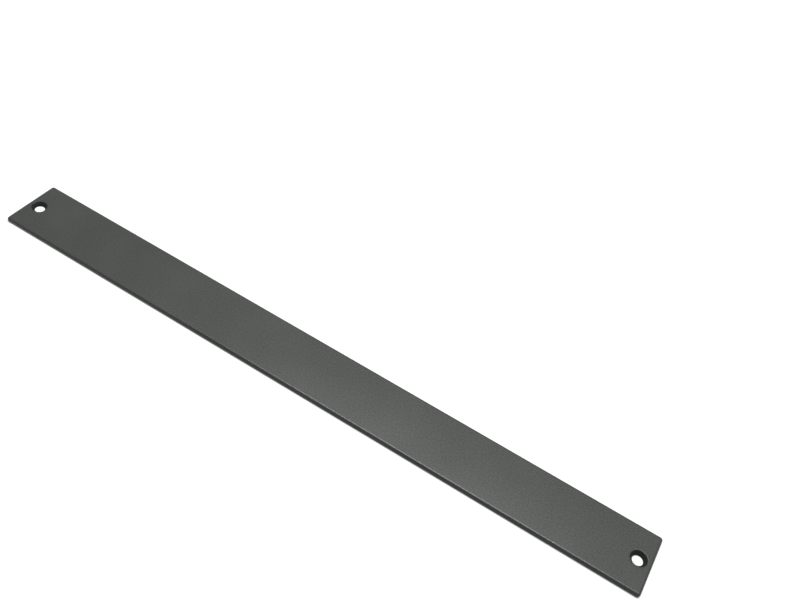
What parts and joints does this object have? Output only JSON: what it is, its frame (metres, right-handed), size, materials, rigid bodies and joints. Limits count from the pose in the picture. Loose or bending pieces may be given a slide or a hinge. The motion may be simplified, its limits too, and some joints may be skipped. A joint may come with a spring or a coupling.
{
  "type": "rack blanking panel",
  "caption": "Flat powder-coated filler plate that covers an empty one-unit space in a 19-inch equipment rack, with a countersunk screw hole near each end.",
  "frame": {"origin": "middle of the flat rear face, which meets the rack's rails", "axes": "+X along the panel's length, +Y up its height as it hangs in the rack, +Z out of the front face; the panel lies on its rear face with its front face up"},
  "size_m": [0.4826, 0.0436, 0.003],
  "materials": {
    "powder_coat": "satin graphite-grey powder coat with a fine grain, over a plain metal plate, all over"
  },
  "bodies": {
    "root": {"blanking_panel": "powder_coat"}
  },
  "joints": []
}
